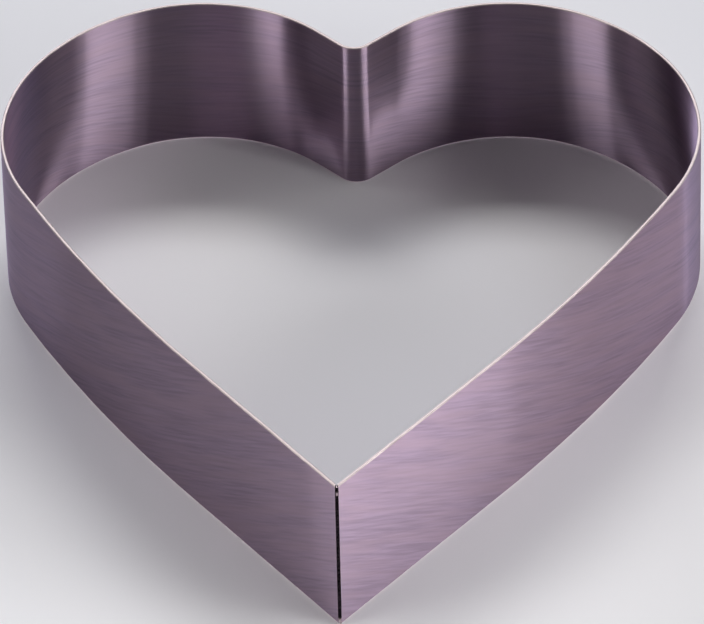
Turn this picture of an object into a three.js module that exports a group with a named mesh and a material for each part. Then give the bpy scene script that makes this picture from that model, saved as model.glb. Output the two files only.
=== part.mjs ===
// Heart cake ring: one strip of stainless steel that stands on edge and is bent to a heart.
// Its two ends meet at the front tip, where they leave an open V groove on the outside.
// A root weld joins them along the inside corner, and two tacks bridge the groove near its ends.
// Millimetres, +Z up. The ring stands on its lower rim at z = 0, with the tip towards -Y.
import * as THREE from 'three';

// Strip
const RING_WIDTH = 205.6; // outside, across both lobes
const RING_HEIGHT = 50;
const WALL = 1;
const EDGE_ROUND = 0.3; // radius of the deburred long edges

// Plan of the outside face, angles in degrees
const TIP_HALF_ANGLE = 38; // front wall to the centre line
const SHOULDER_RADIUS = 516; // slow curve from the flat front wall to the lobe
const SHOULDER_SWEEP = 10.4;
const CROWN_RADIUS = 49.5; // tighter curve over the back of the lobe
const CROWN_SWEEP = 70.8;
const FLANK_LENGTH = 10.6; // flat run from the crown to the cleft bend
const FLANK_ANGLE = 43.5; // flank to the X axis
const CLEFT_RADIUS = 5.2;

// Seam at the tip
const GROOVE_WIDTH = 1; // mouth of the V groove, on the outside faces
const ROOT_GAP = 0.3; // between the two ends, on the inside faces
const WELD_FIT = 0.05; // clearance between a weld and what it holds
const ROOT_DEPTH = 0.45; // how far the root weld fills the groove
const ROOT_LEG = 1.1; // reach of the root weld along each inside face
const ROOT_HOLLOW = 0.3; // depth of the curve that the root weld's fillet follows
const ROOT_INSET = 1; // root weld's ends, from both rims
const TACK_ROUND = 0.1;
const TOP_TACK_DROP = 2.2; // from the upper rim to the top tack
const TOP_TACK_HEIGHT = 1.6;
const TOP_TACK_DEPTH = 0.5; // from the root weld towards the groove's mouth
const FOOT_TACK_HEIGHT = 1.9;
const FOOT_TACK_LAND = 0.12; // foot tack's flat sides, from the groove's mouth to its rounded nose

// Facets
const ARC_STEPS = 14; // half the number of chords in each bend
const EDGE_STEPS = 2;

const degrees = THREE.MathUtils.degToRad;
const point = (x, y) => new THREE.Vector2(x, y);
const along = (heading) => point(Math.cos(heading), Math.sin(heading));
const outward = (heading) => point(Math.sin(heading), -Math.cos(heading));
const mirrored = (p) => point(-p.x, p.y);
const stepFrom = (p, direction, distance) => p.clone().addScaledVector(direction, distance);

// A line through a point, and the point where two lines meet.
const shifted = (line, distance) => ({
  at: stepFrom(line.at, outward(line.heading), distance),
  heading: line.heading,
});

function meet(first, second) {
  const gap = second.at.clone().sub(first.at);
  const reach = gap.cross(along(second.heading)) / along(first.heading).cross(along(second.heading));
  return stepFrom(first.at, along(first.heading), reach);
}

// A line across the plan, square to the centre line.
const acrossAt = (y) => ({ at: point(0, y), heading: 0 });

// Polar angle of the direction from the cleft to the tip.
const towardsTip = -Math.PI / 2;

// Headings of the right half of the outside face, followed from the tip to the cleft.
const sideHeading = degrees(90 - TIP_HALF_ANGLE);
const lobeHeading = sideHeading + degrees(SHOULDER_SWEEP);
const flankHeading = degrees(180 + FLANK_ANGLE);
const crownHeading = flankHeading - degrees(CROWN_SWEEP);

// The lobe's radius is the one that makes the tangent chain as wide as the ring.
const crownOffset = (CROWN_RADIUS + CLEFT_RADIUS) * Math.sin(degrees(FLANK_ANGLE))
  + FLANK_LENGTH * Math.cos(degrees(FLANK_ANGLE));
const crownTurn = Math.sin(crownHeading);
const lobeRadius = (RING_WIDTH / 2 - crownOffset - CROWN_RADIUS * crownTurn) / (1 - crownTurn);

// Centres of the bends, with the lobe's centre on y = 0.
const lobeCentre = point(RING_WIDTH / 2 - lobeRadius, 0);
const crownCentre = stepFrom(lobeCentre, outward(crownHeading), lobeRadius - CROWN_RADIUS);
const shoulderCentre = stepFrom(lobeCentre, outward(lobeHeading), lobeRadius - SHOULDER_RADIUS);
const crownEnd = stepFrom(crownCentre, outward(flankHeading), CROWN_RADIUS);
const flankEnd = stepFrom(crownEnd, along(flankHeading), FLANK_LENGTH);
const cleftCentre = stepFrom(flankEnd, outward(flankHeading), CLEFT_RADIUS);

// A bend is an arc of the outside face. The polar angle of its start and end follows from the heading.
const leftTurn = (centre, radius, from, to) => ({
  centre,
  radius,
  insideRadius: radius - WALL,
  from: from - Math.PI / 2,
  to: to - Math.PI / 2,
  clockwise: false,
});

const mirroredBend = (bend) => ({
  ...bend,
  centre: mirrored(bend.centre),
  from: Math.PI - bend.to,
  to: Math.PI - bend.from,
});

const rightBends = [
  leftTurn(shoulderCentre, SHOULDER_RADIUS, sideHeading, lobeHeading),
  leftTurn(lobeCentre, lobeRadius, lobeHeading, crownHeading),
  leftTurn(crownCentre, CROWN_RADIUS, crownHeading, flankHeading),
];
const cleftBend = {
  centre: cleftCentre,
  radius: CLEFT_RADIUS,
  insideRadius: CLEFT_RADIUS + WALL,
  from: towardsTip + degrees(FLANK_ANGLE),
  to: towardsTip - degrees(FLANK_ANGLE),
  clockwise: true,
};
const bends = [...rightBends, cleftBend, ...rightBends.map(mirroredBend).reverse()];

// Faces of the right-hand strip end at the tip, as lines of the plan.
const centreLine = { at: point(0, 0), heading: Math.PI / 2 };
const outsideFace = {
  at: stepFrom(shoulderCentre, outward(sideHeading), SHOULDER_RADIUS),
  heading: sideHeading,
};
const insideFace = shifted(outsideFace, -WALL);
const mouthCorner = meet(outsideFace, shifted(centreLine, GROOVE_WIDTH / 2));
const rootCorner = meet(insideFace, shifted(centreLine, ROOT_GAP / 2));
const endFace = {
  at: rootCorner,
  heading: rootCorner.clone().sub(mouthCorner).angle(),
};
const tip = meet(outsideFace, centreLine);

// Faces that the welds keep to, one clearance away from the strip.
const weldEnd = shifted(endFace, -WELD_FIT);
const weldInside = shifted(insideFace, -WELD_FIT);
const rootFront = rootCorner.y - ROOT_DEPTH;
const tackBack = rootFront - WELD_FIT;

function extrude(shape, bottom, top, round) {
  const geometry = new THREE.ExtrudeGeometry(shape, {
    depth: top - bottom - 2 * round,
    curveSegments: ARC_STEPS,
    bevelEnabled: round > 0,
    bevelThickness: round,
    bevelSize: round,
    bevelOffset: -round,
    bevelSegments: EDGE_STEPS,
  });
  return geometry.translate(0, 0, bottom + round);
}

// A shape that is mirrored about the centre line: along the right points, then back along their
// images. Where a control point is given, the last right point curves over to its image.
function symmetricShape(rightPoints, control) {
  const last = rightPoints.at(-1);
  const shape = new THREE.Shape(rightPoints);
  if (control) {
    shape.quadraticCurveTo(control.x, control.y, -last.x, last.y);
  }
  for (const p of rightPoints.map(mirrored).reverse()) {
    shape.lineTo(p.x, p.y);
  }
  return shape;
}

// Outside face from the right end to the left end, then the inside face back.
function bandGeometry() {
  const shape = new THREE.Shape();
  shape.moveTo(mouthCorner.x, mouthCorner.y);
  for (const bend of bends) {
    shape.absarc(bend.centre.x, bend.centre.y, bend.radius, bend.from, bend.to, bend.clockwise);
  }
  shape.lineTo(-mouthCorner.x, mouthCorner.y);
  shape.lineTo(-rootCorner.x, rootCorner.y);
  for (const bend of [...bends].reverse()) {
    shape.absarc(bend.centre.x, bend.centre.y, bend.insideRadius, bend.to, bend.from, !bend.clockwise);
  }
  shape.lineTo(rootCorner.x, rootCorner.y);
  return extrude(shape, 0, RING_HEIGHT, EDGE_ROUND);
}

// Fills the root of the groove and spreads into a fillet between the two inside faces.
function rootWeldGeometry() {
  const throat = meet(weldEnd, weldInside);
  const toe = stepFrom(throat, along(sideHeading), ROOT_LEG);
  const front = meet(weldEnd, acrossAt(rootFront));
  const hollow = point(0, toe.y - 2 * ROOT_HOLLOW);
  const shape = symmetricShape([front, throat, toe], hollow);
  return extrude(shape, ROOT_INSET, RING_HEIGHT - ROOT_INSET, 0);
}

// A plug across the groove, sunk below its mouth.
function topTackGeometry() {
  const back = meet(weldEnd, acrossAt(tackBack));
  const front = meet(weldEnd, acrossAt(tackBack - TOP_TACK_DEPTH));
  const top = RING_HEIGHT - TOP_TACK_DROP;
  return extrude(symmetricShape([front, back]), top - TOP_TACK_HEIGHT, top, TACK_ROUND);
}

// A plug that fills the groove to its mouth and carries the two outside faces on to a rounded nose.
function footTackGeometry() {
  const back = meet(weldEnd, acrossAt(tackBack));
  const mouth = meet(weldEnd, outsideFace);
  const nose = stepFrom(mouth, along(sideHeading), -FOOT_TACK_LAND);
  const shape = symmetricShape([back, mouth, nose], tip);
  return extrude(shape, 0, FOOT_TACK_HEIGHT, TACK_ROUND);
}

const brushedSteel = { color: 0x8c7f8e, roughness: 0.34, metalness: 1 };
const weldMetal = { color: 0x7a6c76, roughness: 0.5, metalness: 1 };

function piece(name, geometry, finish) {
  const mesh = new THREE.Mesh(geometry, new THREE.MeshStandardMaterial(finish));
  mesh.name = name;
  return mesh;
}

const ring = new THREE.Group();
ring.add(piece('heart_band', bandGeometry(), brushedSteel));
ring.add(piece('seam_root_weld', rootWeldGeometry(), weldMetal));
ring.add(piece('top_tack_weld', topTackGeometry(), weldMetal));
ring.add(piece('bottom_tack_weld', footTackGeometry(), weldMetal));

// The origin is the middle of the ring's footprint.
const footprint = new THREE.Box3().setFromObject(ring);
ring.position.y = -(footprint.min.y + footprint.max.y) / 2;

export default ring;
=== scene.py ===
import math

import bpy
import numpy as np
from mathutils import Matrix, Vector


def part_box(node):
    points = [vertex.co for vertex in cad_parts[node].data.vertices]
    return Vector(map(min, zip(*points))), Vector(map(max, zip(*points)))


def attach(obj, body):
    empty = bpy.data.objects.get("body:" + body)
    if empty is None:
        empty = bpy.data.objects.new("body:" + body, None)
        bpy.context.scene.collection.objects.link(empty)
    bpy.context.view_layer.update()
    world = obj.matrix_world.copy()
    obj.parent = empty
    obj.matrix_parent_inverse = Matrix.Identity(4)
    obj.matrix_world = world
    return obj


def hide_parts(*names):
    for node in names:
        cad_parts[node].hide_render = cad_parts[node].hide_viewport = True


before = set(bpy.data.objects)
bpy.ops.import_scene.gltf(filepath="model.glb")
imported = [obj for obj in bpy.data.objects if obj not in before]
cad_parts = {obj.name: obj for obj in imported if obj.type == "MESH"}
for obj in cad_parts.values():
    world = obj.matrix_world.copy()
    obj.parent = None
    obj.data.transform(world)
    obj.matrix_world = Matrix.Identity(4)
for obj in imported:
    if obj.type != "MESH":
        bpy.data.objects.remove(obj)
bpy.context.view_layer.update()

MM = 0.001

# Strip and plan of the ring, in metres and radians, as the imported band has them
BAND_LOW, BAND_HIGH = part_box("heart_band")
HEIGHT = BAND_HIGH.z - BAND_LOW.z
RING_WIDTH = 205.6 * MM
WALL = 1.0 * MM
EDGE_ROUND = 0.3 * MM
TIP_HALF_ANGLE = math.radians(38)
SHOULDER_RADIUS = 516 * MM
SHOULDER_SWEEP = math.radians(10.4)
CROWN_RADIUS = 49.5 * MM
CROWN_SWEEP = math.radians(70.8)
FLANK_LENGTH = 10.6 * MM
FLANK_ANGLE = math.radians(43.5)
CLEFT_RADIUS = 5.2 * MM

# Seam at the tip: its groove, and the welds in it
GROOVE_WIDTH = 1.0 * MM
ROOT_GAP = 0.3 * MM
WELD_FIT = 0.05 * MM
ROOT_LEG = 1.1 * MM
ROOT_HOLLOW = 0.3 * MM
FOOT_TACK_LAND = 0.12 * MM

# Mesh density of the band, and the kinds of surface on the pieces
STATION_STEP = 0.7 * MM
CLEFT_STEP = 0.2 * MM
FACE_ROWS = 30
EDGE_STEPS = 5
FACE, RIM, CUT, FOOT = 0, 1, 2, 3
BEAD, SCORCHED = 0, 1

# Sheet that is not quite true. Each wave has a share, a rate and a phase along the strip, a slant,
# and a rate and a phase up the strip. The waves fade out towards the tip.
WAVE_HEIGHT = 0.05 * MM
WAVE_FADE = 12 * MM
SHEET_WAVES = (
    (1.0, 97, 0.6, 0, 38, 0.9),
    (0.6, 211, 2.1, 55, 0, 0),
    (0.35, 420, 4.0, 0, 90, 0),
)

# Upper rim that wanders: how far it dips, and the share, rate and phase of each wave
RIM_WANDER = 0.03 * MM
RIM_WAVES = ((1.0, 63, 1.2), (0.7, 148, 0.3))

# Lines of the finish on the sheet
BRUSH_ARCH = 6 * MM
CROSS_ARCH = 22 * MM
ARCH_POWER = 1.8
ARCH_LIFT = 0.08
FLANK_TURN = 5 * MM
FLANK_START = 30 * MM
FLANK_REACH = 20 * MM
STREAK_SAG = 16 * MM
STREAK_POWER = 1.5
POLISH_SAG = 34 * MM
POLISH_POWER = 1.2
CROWN_SPREAD = 34 * MM
SLANT = 0.6
SLANT_REACH = 210 * MM
STREAK_SLANT_SHARE = 0.8
INSIDE_SHIFT = 1.0

# Bead of the root weld
BEAD_STEP = 0.16 * MM
BEAD_POINTS = 9
BEAD_END = 1.2 * MM
BEAD_END_SHARE = 0.5
BEAD_PITCH = 1.15 * MM
BEAD_BOW = 0.5 * MM
BEAD_RIPPLE = 0.12 * MM
CREST_POWER = 0.7
GROOVE_FACES = 3
TOE_WAVES = ((0.05, 1900, 0), (0.04, 830, 1))

# Tack welds: their levels and points, and how they round off at the foot and at the top
PLUG_LEVELS = 24
PLUG_POINTS = 8
PLUG_END_SHARE = 0.45
PLUG_RIPPLES = 3.6
TOP_TACK_BULGE = 0.18 * MM
TOP_TACK_ROUNDS = (0.5 * MM, 0.5 * MM)
TOP_TACK_RIPPLE = 0.12
FOOT_TACK_ROUNDS = (0.12 * MM, 0.55 * MM)
FOOT_TACK_RIPPLE = 0.03


def along(heading):
    return np.array([math.cos(heading), math.sin(heading)])


def outward(heading):
    return np.array([math.sin(heading), -math.cos(heading)])


def wall_stations(start, heading, length):
    """Stations on a flat wall without its end, each a point and a heading."""
    steps = round(length / STATION_STEP)
    return [(start + along(heading) * s, heading) for s in np.arange(steps) * length / steps]


def bend_stations(centre, radius, first, last, step=STATION_STEP, sign=1):
    """Stations on a bend without its end. The sign is -1 where the strip turns back."""
    steps = round(abs(radius * (last - first)) / step)
    headings = np.linspace(first, last, steps, endpoint=False)
    return [(centre + sign * radius * outward(h), h) for h in headings]


def plan_half():
    """Stations of the outside face from the tip to the cleft: points and outward normals."""
    side = math.pi / 2 - TIP_HALF_ANGLE
    lobe = side + SHOULDER_SWEEP
    flank = math.pi + FLANK_ANGLE
    crown = flank - CROWN_SWEEP
    offset = (CROWN_RADIUS + CLEFT_RADIUS) * math.sin(FLANK_ANGLE) + FLANK_LENGTH * math.cos(FLANK_ANGLE)
    turn = math.sin(crown)
    lobe_radius = (RING_WIDTH / 2 - offset - CROWN_RADIUS * turn) / (1 - turn)

    lobe_centre = np.array([RING_WIDTH / 2 - lobe_radius, 0.0])
    crown_centre = lobe_centre + outward(crown) * (lobe_radius - CROWN_RADIUS)
    shoulder_centre = lobe_centre + outward(lobe) * (lobe_radius - SHOULDER_RADIUS)
    side_end = shoulder_centre + outward(side) * SHOULDER_RADIUS
    side_length = side_end[0] / math.cos(side)
    crown_end = crown_centre + outward(flank) * CROWN_RADIUS
    flank_end = crown_end + along(flank) * FLANK_LENGTH
    cleft_centre = flank_end + outward(flank) * CLEFT_RADIUS

    stations = wall_stations(side_end - along(side) * side_length, side, side_length)
    stations += bend_stations(shoulder_centre, SHOULDER_RADIUS, side, lobe)
    stations += bend_stations(lobe_centre, lobe_radius, lobe, crown)
    stations += bend_stations(crown_centre, CROWN_RADIUS, crown, flank)
    stations += wall_stations(crown_end, flank, FLANK_LENGTH)
    stations += bend_stations(cleft_centre, CLEFT_RADIUS, flank, math.pi, CLEFT_STEP, -1)
    stations.append((cleft_centre - CLEFT_RADIUS * outward(math.pi), math.pi))

    points = np.array([point for point, _ in stations])
    points[:, 1] += BAND_HIGH.y - (crown_centre[1] + CROWN_RADIUS)
    normals = np.array([outward(heading) for _, heading in stations])
    return points, normals


half_points, half_normals = plan_half()
TIP_Y = half_points[0, 1]
MIRROR = np.array([-1.0, 1.0])
plan_points = np.concatenate([half_points, half_points[-2::-1] * MIRROR])
plan_normals = np.concatenate([half_normals, half_normals[-2::-1] * MIRROR])
plan_run = np.concatenate([[0.0], np.cumsum(np.linalg.norm(np.diff(plan_points, axis=0), axis=1))])
PERIMETER = plan_run[-1]
CROWN_RUN = plan_run[np.argmax(half_points[:, 1])]

# The groove at the tip, in the plan: direction of the right wall, and the two corners of its end
SIDE = along(math.pi / 2 - TIP_HALF_ANGLE)
TIP_SINE = math.sin(TIP_HALF_ANGLE)
TIP_TANGENT = math.tan(TIP_HALF_ANGLE)
MOUTH = np.array([GROOVE_WIDTH / 2, TIP_Y + GROOVE_WIDTH / 2 / TIP_TANGENT])
ROOT = np.array([ROOT_GAP / 2, TIP_Y + WALL / TIP_SINE + ROOT_GAP / 2 / TIP_TANGENT])


def strip_section():
    """Section of the strip as a loop of (depth from the outside face, height), and each edge's kind."""
    rows = np.linspace(EDGE_ROUND, HEIGHT - EDGE_ROUND, FACE_ROWS + 1)
    turn = np.linspace(0, math.pi / 2, EDGE_STEPS + 1)[1:]
    inner, top = WALL - EDGE_ROUND, HEIGHT - EDGE_ROUND
    r = EDGE_ROUND
    section = [(0.0, z) for z in rows]
    section += [(r - r * math.cos(a), top + r * math.sin(a)) for a in turn]
    section += [(inner + r * math.sin(a), top + r * math.cos(a)) for a in [0.0, *turn]]
    section += [(WALL, z) for z in rows[-2::-1]]
    section += [(inner + r * math.cos(a), r - r * math.sin(a)) for a in turn]
    section += [(r - r * math.sin(a), r - r * math.cos(a)) for a in [0.0, *turn[:-1]]]
    rim = 2 * EDGE_STEPS + 1
    kinds = [FACE] * FACE_ROWS + [RIM] * rim + [FACE] * FACE_ROWS + [FOOT] * rim
    return np.array(section), kinds


def from_tip(run):
    """Distance from the tip along the nearer wall."""
    return np.minimum(run, PERIMETER - run)


def lowness(height):
    """1 at the foot of the strip and 0 at its top."""
    return np.clip(1 - height / HEIGHT, 0, 1)


def wave_sum(place, waves):
    """Sum of sine waves, each with a share, a rate and a phase."""
    return sum(share * np.sin(place * rate + phase) for share, rate, phase in waves)


def sheet_wave(run, height):
    """How far the sheet stands out of true at a place on it."""
    total = np.zeros(run.shape)
    for share, rate, phase, slant, up_rate, up_phase in SHEET_WAVES:
        along_strip = np.sin(run * rate + phase + height * slant)
        total += share * along_strip * np.cos(height * up_rate + up_phase)
    shares = sum(wave[0] for wave in SHEET_WAVES)
    return WAVE_HEIGHT * total / shares * np.clip(from_tip(run) / WAVE_FADE, 0, 1)


def rim_dip(run, height):
    """How far the upper half of the strip dips, so that its rim wanders. It never rises."""
    shares = sum(wave[0] for wave in RIM_WAVES)
    dip = RIM_WANDER * (wave_sum(run, RIM_WAVES) / shares - 1) / 2
    return dip * np.clip(height / HEIGHT * 2 - 1, 0, 1)


def crown_bow(run, height, depth, power, lift=0.0):
    """How far lines bow at a distance from the crowns, most at the foot of the strip."""
    spread = 1 - np.exp(-((from_tip(run) - CROWN_RUN) / CROWN_SPREAD) ** 2 / 2)
    return depth * spread * (lowness(height) ** power - lift)


def flank_turn(run, height, depth):
    """How far lines low on the flanks turn down towards the cleft, in a smooth step."""
    t = np.clip((from_tip(run) - CROWN_RUN - FLANK_START) / FLANK_REACH, 0, 1)
    return depth * t * t * (3 - 2 * t) * lowness(height) ** ARCH_POWER


def arched_map(run, height, inside, arch, turn):
    """Lines of the brush finish. Inside the lobes the low ones arch over the crowns, the high ones sag."""
    drop = crown_bow(run, height, arch, ARCH_POWER, ARCH_LIFT) + flank_turn(run, height, turn)
    return height + inside * drop


def slant_from_tip(run):
    """How far the streaks on the outside have slanted down at a distance from the tip."""
    away = from_tip(run) / SLANT_REACH
    share = np.array([math.erf(a) for a in away.ravel()]).reshape(away.shape)
    return SLANT * SLANT_REACH * math.sqrt(math.pi) / 2 * share


def streak_map(run, height, inside):
    """Lines of the fine streaks: slanting down from the tip outside, sagging below the crowns inside."""
    sag = crown_bow(run, height, STREAK_SAG, STREAK_POWER)
    return np.where(inside, height - sag, height + STREAK_SLANT_SHARE * slant_from_tip(run))


def polish_map(run, height, inside):
    """Lines of the hand polish: as the streaks, with more slant and sag."""
    sag = crown_bow(run, height, POLISH_SAG, POLISH_POWER)
    return np.where(inside, height - sag, height + slant_from_tip(run))


def finish_maps(run, height, depth):
    """UV maps of the band's finish. The inside is shifted along, so that it has streaks of its own."""
    inside = np.broadcast_to(depth > WALL / 2, run.shape)
    shifted = run + INSIDE_SHIFT * inside
    return {
        "brush": (shifted, arched_map(run, height, inside, BRUSH_ARCH, FLANK_TURN)),
        "cross": (shifted, arched_map(run, height, inside, CROSS_ARCH, 0)),
        "streak": (shifted, streak_map(run, height, inside)),
        "polish": (shifted, polish_map(run, height, inside)),
    }


def link_object(name, data):
    made = bpy.data.objects.new(name, data)
    bpy.context.scene.collection.objects.link(made)
    return made


def add_uv_maps(mesh, uv_maps):
    """UV maps from arrays that hold one value per point."""
    loops = np.zeros(len(mesh.loops), dtype=np.int32)
    mesh.loops.foreach_get("vertex_index", loops)
    for key, (first, second) in uv_maps.items():
        layer = mesh.uv_layers.new(name=key)
        uv = np.stack([first.reshape(-1)[loops], second.reshape(-1)[loops]], axis=1)
        layer.data.foreach_set("uv", uv.astype(np.float32).ravel())


def sharpen_caps(mesh, count, size):
    """Sharp edges around the first and the last ring of a tube."""
    edges = np.zeros(len(mesh.edges) * 2, dtype=np.int32)
    mesh.edges.foreach_get("vertices", edges)
    ends = edges.reshape(-1, 2) // size
    capped = (ends[:, 0] == ends[:, 1]) & ((ends[:, 0] == 0) | (ends[:, 0] == count - 1))
    sharp = mesh.attributes.new("sharp_edge", "BOOLEAN", "EDGE")
    sharp.data.foreach_set("value", capped)


def ring_mesh(name, rings, kinds, cap_kind, uv_maps=None):
    """A closed tube of quads through rings of points, with flat caps on both ends."""
    count, size, _ = rings.shape
    index = np.arange(count * size).reshape(count, size)
    after = np.roll(index, -1, axis=1)
    faces = np.stack([index[:-1], index[1:], after[1:], after[:-1]], axis=-1).reshape(-1, 4).tolist()
    faces.append(index[0].tolist())
    faces.append(index[-1][::-1].tolist())
    mesh = bpy.data.meshes.new(name)
    mesh.from_pydata(rings.reshape(-1, 3).tolist(), [], faces)
    mesh.update()
    mesh.polygons.foreach_set("material_index", kinds * (count - 1) + [cap_kind] * 2)
    add_uv_maps(mesh, uv_maps or {})
    mesh.shade_smooth()
    sharpen_caps(mesh, count, size)
    return link_object(name, mesh)


def end_cut(depth):
    """Distance of the angled strip end from the tip, at depths from the outside face."""
    mouth = GROOVE_WIDTH / 2 / TIP_SINE
    root = ROOT_GAP / 2 / TIP_SINE + WALL / TIP_TANGENT
    return mouth + (root - mouth) * depth / WALL


def make_band():
    section, kinds = strip_section()
    depth, height = section[:, 0], section[:, 1]
    end_run = end_cut(depth)
    clear = end_cut(WALL) + STATION_STEP / 2
    keep = (plan_run > clear) & (plan_run < PERIMETER - clear)
    run = np.zeros((keep.sum() + 2, len(section)))
    run[1:-1] = plan_run[keep][:, None]
    run[0] = end_run
    run[-1] = PERIMETER - end_run
    high = np.broadcast_to(height, run.shape)

    inset = depth - sheet_wave(run, high)
    rings = np.zeros((*run.shape, 3))
    rings[1:-1, :, :2] = plan_points[keep][:, None] - plan_normals[keep][:, None] * inset[1:-1, :, None]
    right_end = plan_points[0] + np.outer(end_run, SIDE) - np.outer(depth, plan_normals[0])
    rings[0, :, :2] = right_end
    rings[-1, :, :2] = right_end * MIRROR
    rings[:, :, 2] = high + rim_dip(run, high)
    return ring_mesh("heart_band_sheet", rings, kinds, CUT, finish_maps(run, high, depth))


def groove_half(y):
    """Half the width that a weld may fill between the two strip ends."""
    t = (y - ROOT[1]) / (MOUTH[1] - ROOT[1])
    return ROOT[0] + (MOUTH[0] - ROOT[0]) * t - WELD_FIT


def mirrored_level(right_half, z):
    """A closed loop at a height, from the right half of a section that runs from back to front."""
    right = np.array(right_half)
    left = right[::-1] * MIRROR
    left = left[1:] if right[-1, 0] == 0 else left
    left = left[:-1] if right[0, 0] == 0 else left
    loop = np.concatenate([right, left])
    return np.c_[loop, np.full(len(loop), z)]


def quarter_round(t):
    """Rises from 0 to 1 as a quarter of a circle does."""
    return math.sqrt(1 - (1 - t) ** 2)


def bead_face(z, toe, full):
    """Right half of the root bead's face at a height, from its middle to its toe, with ripples."""
    half = []
    for t in np.linspace(0, 1, BEAD_POINTS):
        crest = abs(math.sin(math.pi * (z - BEAD_BOW * t * t) / BEAD_PITCH)) ** CREST_POWER
        ripple = BEAD_RIPPLE * crest * (1 - t ** 4) * full
        half.append((toe[0] * t, toe[1] - ROOT_HOLLOW * (1 - t * t) + ripple))
    return half


def make_root_weld():
    low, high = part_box("seam_root_weld")
    throat = np.array([high.x, high.y]) - SIDE * ROOT_LEG
    rings = []
    for z in np.linspace(low.z, high.z, round((high.z - low.z) / BEAD_STEP) + 1):
        full = quarter_round(min((z - low.z) / BEAD_END, (high.z - z) / BEAD_END, 1))
        leg = ROOT_LEG * (BEAD_END_SHARE + (1 - BEAD_END_SHARE) * full) * (1 + wave_sum(z, TOE_WAVES))
        half = bead_face(z, throat + SIDE * leg, full)
        half += [tuple(throat), (groove_half(low.y), low.y)]
        rings.append(mirrored_level(half, z))
    kinds = [BEAD] * len(rings[0])
    kinds[BEAD_POINTS:BEAD_POINTS + GROOVE_FACES] = [SCORCHED] * GROOVE_FACES
    return ring_mesh("seam_root_weld_bead", np.array(rings), kinds, BEAD)


def plug_share(z, low, high, rounds):
    """Share of its full depth that a tack has at a height. It is less at the rounded ends."""
    share = 1.0
    for edge, reach in ((low, rounds[0]), (high, rounds[1])):
        t = min(abs(z - edge) / reach, 1)
        share = min(share, PLUG_END_SHARE + (1 - PLUG_END_SHARE) * quarter_round(t))
    return share


def make_plug(name, node_name, front_half, rounds, ripple):
    """A tack weld across the groove: rings up its height, drawn back at its rounded ends."""
    low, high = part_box(node_name)
    back = high.y
    rises = (1 - np.cos(np.linspace(0, math.pi, PLUG_LEVELS))) / 2
    rings = []
    for z in low.z + (high.z - low.z) * rises:
        swell = 1 - ripple * (1 + math.sin((z - low.z) / BEAD_PITCH * PLUG_RIPPLES * math.pi)) / 2
        share = plug_share(z, low.z, high.z, rounds) * swell
        half = [(groove_half(back), back)]
        for x, y in front_half:
            y_level = back + (y - back) * share
            half.append((min(x, groove_half(max(y_level, MOUTH[1]))), y_level))
        rings.append(mirrored_level(half, z))
    return ring_mesh(name, np.array(rings), [BEAD] * len(rings[0]), BEAD)


def make_tacks():
    turns = np.linspace(0, math.pi / 2, PLUG_POINTS)[:-1]
    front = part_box("top_tack_weld")[0].y
    width = groove_half(front)
    top_front = [(width * math.cos(a), front + TOP_TACK_BULGE * (1 - math.sin(a))) for a in turns]
    top_front.append((0.0, front))
    top = make_plug("top_tack_weld_bead", "top_tack_weld", top_front, TOP_TACK_ROUNDS, TOP_TACK_RIPPLE)

    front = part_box("bottom_tack_weld")[0].y
    nose = MOUTH - SIDE * FOOT_TACK_LAND
    foot_front = [(MOUTH[0] - WELD_FIT, MOUTH[1])]
    foot_front += [(nose[0] * math.cos(a), nose[1] + (front - nose[1]) * math.sin(a)) for a in turns]
    foot_front.append((0.0, front))
    rounds, ripple = FOOT_TACK_ROUNDS, FOOT_TACK_RIPPLE
    foot = make_plug("bottom_tack_weld_bead", "bottom_tack_weld", foot_front, rounds, ripple)
    return top, foot


# Streaks of the finish: length, width, detail and seed of their noise
FINE_STREAKS = (25 * MM, 0.22 * MM, 2, 0.0)
LONG_STREAKS = (70 * MM, 1.1 * MM, 3, 3.1)
POLISH_STREAKS = (16 * MM, 0.9 * MM, 3, 7.3)
BLOTCHES = (32 * MM, 4.5 * MM, 3, 5.2)
EDGE_STREAKS = (9 * MM, 0.5 * MM, 3, 1.3)
SEED_STEPS = (1, 1.7, 0.3)

# Shares of the streaks in the grain of the steel
LONG_SHARE = 0.4
FINE_SHARE = 0.25
POLISH_SHARE = 0.35

# Ranges of noise that are stretched, and the full range that most are stretched to
FULL_RANGE = (0, 1)
GRAIN_RANGE = (0.3, 0.7)
POLISH_RANGE = (0.33, 0.67)
BLOTCH_RANGE = (0.4, 0.66)
SOOT_RANGE = (0.35, 0.65)

# Brushed steel: dark and light tint, strength and height of its bumps, and the lustre mixed over it
STEEL_TINT = ((0.278, 0.213, 0.282), (0.360, 0.274, 0.365))
STEEL_ROUGHNESS = (0.39, 0.46)
STEEL_BUMP = (0.25, 0.02 * MM)
BLOTCH_TINT = (0.382, 0.280, 0.346)
BLOTCH_SHARES = (0, 0.55)
QUARTER_TURN = 0.25
LUSTRE_ROUGHNESS = 0.33
LUSTRE_ANISOTROPY = 0.8
LUSTRE_SHARE = 0.55

# Long edges of the strip. The upper rim is burnished. The foot is burnished too, and its tint is far lighter
# than the steel's, a painted highlight line along the lower edge.
RIM_TINT = ((0.34, 0.285, 0.285), (0.50, 0.43, 0.425))
# Painted highlight: this light tint stands in for the bright line that the lower edge catches.
FOOT_PAINTED_HIGHLIGHT_TINT = ((0.74, 0.62, 0.66), (0.95, 0.84, 0.87))
EDGE_ROUGHNESS = (0.58, 0.46)
EDGE_BUMP = (0.3, 0.03 * MM)

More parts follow.
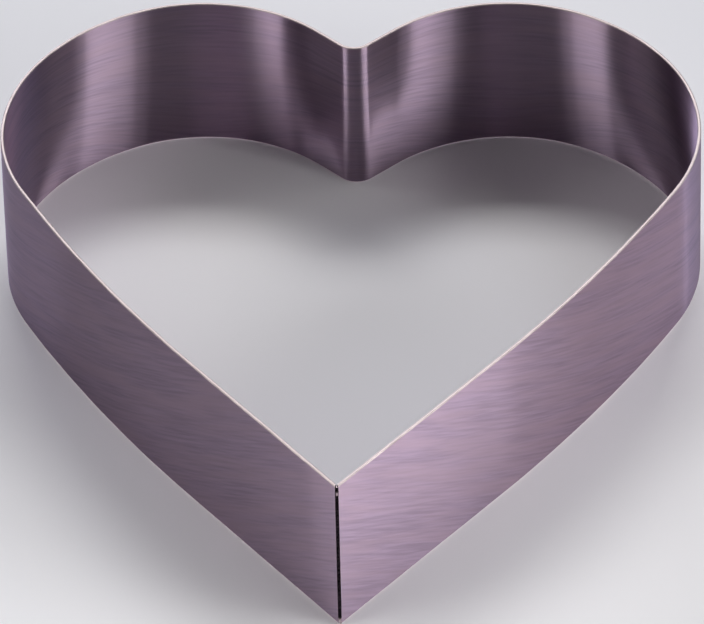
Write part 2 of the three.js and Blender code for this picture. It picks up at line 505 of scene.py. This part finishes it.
# Metal that a weld has heated. Soot and grit have the size and the detail of their noise.
WELD_LOOK = {
    "tint": ((0.42, 0.32, 0.36), (0.74, 0.62, 0.64)),
    "roughness": (0.52, 0.34),
    "soot": (1.1 * MM, 3),
    "grit": (0.35 * MM, 4),
    "bump": (0.4, 0.04 * MM),
}
SCORCHED_LOOK = {
    "tint": ((0.035, 0.028, 0.034), (0.13, 0.10, 0.12)),
    "roughness": (0.7, 0.5),
    "soot": (0.8 * MM, 3),
    "grit": (0.3 * MM, 3),
    "bump": (0.4, 0.03 * MM),
}


class Nodes:
    """Short hand for building a material's nodes."""

    def __init__(self, name):
        self.material = bpy.data.materials.new(name)
        self.material.use_nodes = True
        self.tree = self.material.node_tree
        self.shader = self.tree.nodes["Principled BSDF"]

    def add(self, kind, **settings):
        made = self.tree.nodes.new(kind)
        for key, value in settings.items():
            setattr(made, key, value)
        return made

    def link(self, source, target):
        self.tree.links.new(source, target)

    def set(self, **values):
        for key, value in values.items():
            self.shader.inputs[key.replace("_", " ")].default_value = value

    def tangent(self, uv_map):
        """Direction of the lines of a UV map."""
        made = self.add("ShaderNodeTangent", direction_type="UV_MAP", uv_map=uv_map)
        return made.outputs["Tangent"]

    def noise(self, place, scale, detail):
        made = self.add("ShaderNodeTexNoise")
        made.inputs["Scale"].default_value = scale
        made.inputs["Detail"].default_value = detail
        self.link(place, made.inputs["Vector"])
        return made.outputs["Fac"]

    def streaks(self, uv_map, length, width, detail, seed):
        """Noise drawn out along the lines of a UV map."""
        uv = self.add("ShaderNodeUVMap", uv_map=uv_map)
        spread = self.add("ShaderNodeMapping")
        spread.inputs["Scale"].default_value = (1 / length, 1 / width, 1)
        spread.inputs["Location"].default_value = [seed * step for step in SEED_STEPS]
        self.link(uv.outputs["UV"], spread.inputs["Vector"])
        return self.noise(spread.outputs["Vector"], 1, detail)

    def cloud(self, size, detail):
        """Noise of one size in every direction."""
        place = self.add("ShaderNodeTexCoord")
        return self.noise(place.outputs["Object"], 1 / size, detail)

    def stretch(self, value, source, target):
        """A value with one range stretched to another."""
        ramp = self.add("ShaderNodeMapRange")
        ramp.inputs["From Min"].default_value = source[0]
        ramp.inputs["From Max"].default_value = source[1]
        ramp.inputs["To Min"].default_value = target[0]
        ramp.inputs["To Max"].default_value = target[1]
        self.link(value, ramp.inputs["Value"])
        return ramp.outputs["Result"]

    def weighed(self, value, share):
        made = self.add("ShaderNodeMath", operation="MULTIPLY")
        self.link(value, made.inputs[0])
        made.inputs[1].default_value = share
        return made.outputs["Value"]

    def total(self, first, second):
        made = self.add("ShaderNodeMath", operation="ADD")
        self.link(first, made.inputs[0])
        self.link(second, made.inputs[1])
        return made.outputs["Value"]

    def mix(self, share, dark, light):
        """A mix of two colours, each a plain colour or another node's."""
        made = self.add("ShaderNodeMix", data_type="RGBA")
        for key, value in (("Factor", share), ("A", dark), ("B", light)):
            socket = [s for s in made.inputs if s.name == key and s.enabled][0]
            if isinstance(value, tuple):
                socket.default_value = (*value, 1)
            else:
                self.link(value, socket)
        return [s for s in made.outputs if s.enabled][0]

    def bump(self, height, strength, distance):
        made = self.add("ShaderNodeBump")
        made.inputs["Strength"].default_value = strength
        made.inputs["Distance"].default_value = distance
        self.link(height, made.inputs["Height"])
        self.link(made.outputs["Normal"], self.shader.inputs["Normal"])
        return made.outputs["Normal"]


def add_lustre(steel):
    """A glossy layer that follows the brush lines, mixed over the first shader."""
    lustre = steel.add("ShaderNodeBsdfAnisotropic", distribution="MULTI_GGX")
    lustre.inputs["Roughness"].default_value = LUSTRE_ROUGHNESS
    lustre.inputs["Anisotropy"].default_value = LUSTRE_ANISOTROPY
    steel.link(steel.tangent("brush"), lustre.inputs["Tangent"])
    blend = steel.add("ShaderNodeMixShader")
    blend.inputs["Fac"].default_value = LUSTRE_SHARE
    steel.link(steel.shader.outputs["BSDF"], blend.inputs[1])
    steel.link(lustre.outputs["BSDF"], blend.inputs[2])
    steel.link(blend.outputs["Shader"], steel.tree.nodes["Material Output"].inputs["Surface"])
    return lustre


def steel_grain(steel):
    """Fine streaks, long streaks and hand polish in one noise."""
    fine = steel.streaks("streak", *FINE_STREAKS)
    long = steel.streaks("streak", *LONG_STREAKS)
    polish = steel.stretch(steel.streaks("polish", *POLISH_STREAKS), POLISH_RANGE, FULL_RANGE)
    streaked = steel.total(steel.weighed(long, LONG_SHARE), steel.weighed(fine, FINE_SHARE))
    return steel.total(streaked, steel.weighed(polish, POLISH_SHARE))


def brushed_steel():
    """Steel brushed along the strip. Its reflections stay narrow along the lines and spread across them."""
    steel = Nodes("brushed_steel")
    steel.set(Metallic=1.0, Anisotropic=1.0, Anisotropic_Rotation=QUARTER_TURN)
    steel.link(steel.tangent("cross"), steel.shader.inputs["Tangent"])
    lustre = add_lustre(steel)
    grain = steel_grain(steel)
    blotch = steel.streaks("polish", *BLOTCHES)
    tint = steel.mix(steel.stretch(grain, GRAIN_RANGE, FULL_RANGE), *STEEL_TINT)
    clouded = steel.mix(steel.stretch(blotch, BLOTCH_RANGE, BLOTCH_SHARES), tint, BLOTCH_TINT)
    steel.link(clouded, steel.shader.inputs["Base Color"])
    steel.link(clouded, lustre.inputs["Color"])
    steel.link(steel.stretch(grain, GRAIN_RANGE, STEEL_ROUGHNESS), steel.shader.inputs["Roughness"])
    steel.link(steel.bump(grain, *STEEL_BUMP), lustre.inputs["Normal"])
    return steel.material


def long_edge_metal(name, tint):
    """Long edge of the strip, rubbed by use. For the foot the tint is also a painted highlight line."""
    edge = Nodes(name)
    edge.set(Metallic=1.0)
    rub = edge.streaks("brush", *EDGE_STREAKS)
    shade = edge.mix(edge.stretch(rub, GRAIN_RANGE, FULL_RANGE), *tint)
    edge.link(shade, edge.shader.inputs["Base Color"])
    edge.link(edge.stretch(rub, GRAIN_RANGE, EDGE_ROUGHNESS), edge.shader.inputs["Roughness"])
    edge.bump(rub, *EDGE_BUMP)
    return edge.material


def heated_metal(name, tint, roughness, soot, grit, bump):
    """Metal that a weld has heated, clouded with soot and rough with grit."""
    metal = Nodes(name)
    metal.set(Metallic=1.0)
    cloud = metal.cloud(*soot)
    shade = metal.mix(metal.stretch(cloud, SOOT_RANGE, FULL_RANGE), *tint)
    metal.link(shade, metal.shader.inputs["Base Color"])
    metal.link(metal.stretch(cloud, GRAIN_RANGE, roughness), metal.shader.inputs["Roughness"])
    metal.bump(metal.cloud(*grit), *bump)
    return metal.material


def place_band(metals):
    band = make_band()
    for metal in metals:
        band.data.materials.append(metal)
    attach(band, "root")
    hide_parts("heart_band")


def place_welds(weld, scorched):
    root_weld = make_root_weld()
    top_tack, foot_tack = make_tacks()
    for bead in (root_weld, top_tack, foot_tack):
        bead.data.materials.append(weld)
    root_weld.data.materials.append(scorched)
    beads = ((root_weld, "seam_root_weld"), (top_tack, "top_tack_weld"), (foot_tack, "bottom_tack_weld"))
    for bead, node_name in beads:
        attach(bead, "root")
        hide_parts(node_name)


def make_pieces():
    steel = brushed_steel()
    weld = heated_metal("weld_metal", **WELD_LOOK)
    scorched = heated_metal("scorched_metal", **SCORCHED_LOOK)
    rim = long_edge_metal("burnished_rim", RIM_TINT)
    # The foot edge's light tint is a painted highlight line.
    foot = long_edge_metal("burnished_foot_painted_highlight", FOOT_PAINTED_HIGHLIGHT_TINT)
    place_band((steel, rim, scorched, foot))
    place_welds(weld, scorched)


# Camera of the photograph
IMAGE_WIDTH = 704
FOCAL_PIXELS = 8717.3
CAMERA_DISTANCE = 2.570
CAMERA_TARGET = Vector((0.00003, 0.02787, 0.0))
CAMERA_ELEVATION = math.radians(38.336)
CAMERA_YAW = math.radians(2.219)
CAMERA_ROLL = math.radians(-1.406)
SENSOR_WIDTH = 36.0
CLIP_END = 50


def make_camera():
    data = bpy.data.cameras.new("photo_camera")
    data.sensor_width = SENSOR_WIDTH
    data.lens = FOCAL_PIXELS / IMAGE_WIDTH * SENSOR_WIDTH
    data.clip_end = CLIP_END
    camera = link_object("photo_camera", data)
    flat, rise = math.cos(CAMERA_ELEVATION), math.sin(CAMERA_ELEVATION)
    back = Vector((math.sin(CAMERA_YAW) * flat, -math.cos(CAMERA_YAW) * flat, rise))
    level = Vector((math.cos(CAMERA_YAW), math.sin(CAMERA_YAW), 0))
    upright = back.cross(level)
    right = math.cos(CAMERA_ROLL) * level + math.sin(CAMERA_ROLL) * upright
    up = math.cos(CAMERA_ROLL) * upright - math.sin(CAMERA_ROLL) * level
    turn = Matrix((right, up, back)).transposed().to_4x4()
    camera.matrix_world = Matrix.Translation(CAMERA_TARGET + back * CAMERA_DISTANCE) @ turn
    bpy.context.scene.camera = camera


# Floor and world
FLOOR_HALF = 8.0
FLOOR_LEVEL = -0.2 * MM
FLOOR_TINT = (0.90, 0.89, 0.90, 1)
WORLD_TINT = (0.5, 0.48, 0.52, 1)
WORLD_STRENGTH = 0.05


def make_floor():
    signs = ((-1, -1), (1, -1), (1, 1), (-1, 1))
    corners = [(x * FLOOR_HALF, y * FLOOR_HALF, FLOOR_LEVEL) for x, y in signs]
    mesh = bpy.data.meshes.new("floor")
    mesh.from_pydata(corners, [], [(0, 1, 2, 3)])
    floor = link_object("floor", mesh)
    pale = Nodes("pale_floor")
    pale.set(Base_Color=FLOOR_TINT, Roughness=0.9, Specular_IOR_Level=0.1)
    mesh.materials.append(pale.material)


def make_world():
    world = bpy.data.worlds.new("studio")
    bpy.context.scene.world = world
    world.use_nodes = True
    background = world.node_tree.nodes["Background"].inputs
    background["Color"].default_value = WORLD_TINT
    background["Strength"].default_value = WORLD_STRENGTH


# Colours of the lamps, and how wide they spread with a grid or without one, in degrees
WHITE = (1, 1, 1)
COOL = (0.76, 0.82, 1.0)
WARM = (1.0, 0.9, 0.88)
OPEN_SPREAD = 180
SIDE_SPREAD = 100
LOW_SPREAD = 90

# Rows of lamps beside the ring: middle of the row, its turn in degrees, and the height of its lamps
RIGHT_ROW = ((0.30, -0.140, 0.160), 17, 0.08)
LEFT_ROW = ((-0.30, -0.175, 0.135), 21, 0.13)

# Far lamps, and lamps close to the floor
FAR_DISTANCE = 1.2
FAR_TARGET = (0, 0, 0.02)
LOW_LEVEL = 0.025
LOW_HEIGHT = 0.042


def softbox(name, place, target, size, radiance, colour=WHITE, spread=OPEN_SPREAD):
    """A soft rectangular lamp at a place, turned to a target."""
    width, height = size
    data = bpy.data.lights.new(name, "AREA")
    data.shape = "RECTANGLE"
    data.size = width
    data.size_y = height
    data.energy = radiance * width * height * math.pi
    data.color = colour
    data.spread = math.radians(spread)
    lamp = link_object(name, data)
    lamp.location = place
    lamp.rotation_euler = (Vector(place) - Vector(target)).to_track_quat("Z", "Y").to_euler()
    lamp.visible_camera = False


def side_softbox(name, row, offset, length, radiance):
    """A gridded lamp in a row beside the ring, turned to the far lobe. The offset moves it to the back."""
    middle, turn, height = row
    side = math.copysign(1, middle[0])
    angle = math.radians(turn)
    aim = Vector((-side * math.cos(angle), math.sin(angle), 0))
    back = Vector((side * math.sin(angle), math.cos(angle), 0))
    place = Vector(middle) + back * offset
    softbox(name, place, place + aim, (length, height), radiance, WHITE, SIDE_SPREAD)


def far_softbox(name, azimuth, elevation, size, radiance, colour=WHITE):
    """A lamp far from the ring. Azimuth 0 is the camera's side and 90 is +X."""
    a, e = math.radians(azimuth), math.radians(elevation)
    flat = math.cos(e) * FAR_DISTANCE
    place = (math.sin(a) * flat, -math.cos(a) * flat, math.sin(e) * FAR_DISTANCE)
    softbox(name, place, FAR_TARGET, size, radiance, colour)


def low_softbox(name, x, y, aim_y, width, radiance, colour):
    """A gridded lamp close to the floor, turned to a place on the ring's middle line."""
    place, target = (x, y, LOW_LEVEL), (0, aim_y, LOW_LEVEL)
    softbox(name, place, target, (width, LOW_HEIGHT), radiance, colour, LOW_SPREAD)


def make_lamps():
    side_softbox("right_softbox", RIGHT_ROW, offset=0, length=0.21, radiance=7.2)
    side_softbox("right_softbox_front", RIGHT_ROW, offset=-0.155, length=0.10, radiance=3.0)
    side_softbox("right_softbox_end", RIGHT_ROW, offset=0.13, length=0.05, radiance=1.5)
    side_softbox("left_softbox", LEFT_ROW, offset=0, length=0.15, radiance=3.5)
    side_softbox("left_softbox_front", LEFT_ROW, offset=-0.115, length=0.08, radiance=1.6)
    far_softbox("right_key", azimuth=110, elevation=44, size=(0.36, 0.30), radiance=2.6)
    far_softbox("left_key", azimuth=250, elevation=44, size=(0.36, 0.30), radiance=2.3)
    far_softbox("back_key", azimuth=180, elevation=48, size=(0.6, 0.3), radiance=12.5)
    far_softbox("right_back_softbox", azimuth=139, elevation=40, size=(0.50, 0.25), radiance=3.0, colour=COOL)
    far_softbox("left_back_softbox", azimuth=210, elevation=20, size=(0.46, 0.25), radiance=9.0, colour=COOL)
    low_softbox("right_low_softbox", x=0.30, y=0.035, aim_y=-0.02, width=0.19, radiance=0.7, colour=WARM)
    low_softbox("right_edge_softbox", x=0.30, y=0.19, aim_y=0.12, width=0.14, radiance=1.0, colour=COOL)
    low_softbox("left_edge_softbox", x=-0.30, y=0.13, aim_y=0.07, width=0.14, radiance=0.3, colour=COOL)


make_pieces()
make_camera()
make_floor()
make_lamps()
make_world()
bpy.context.scene.view_settings.view_transform = "Standard"
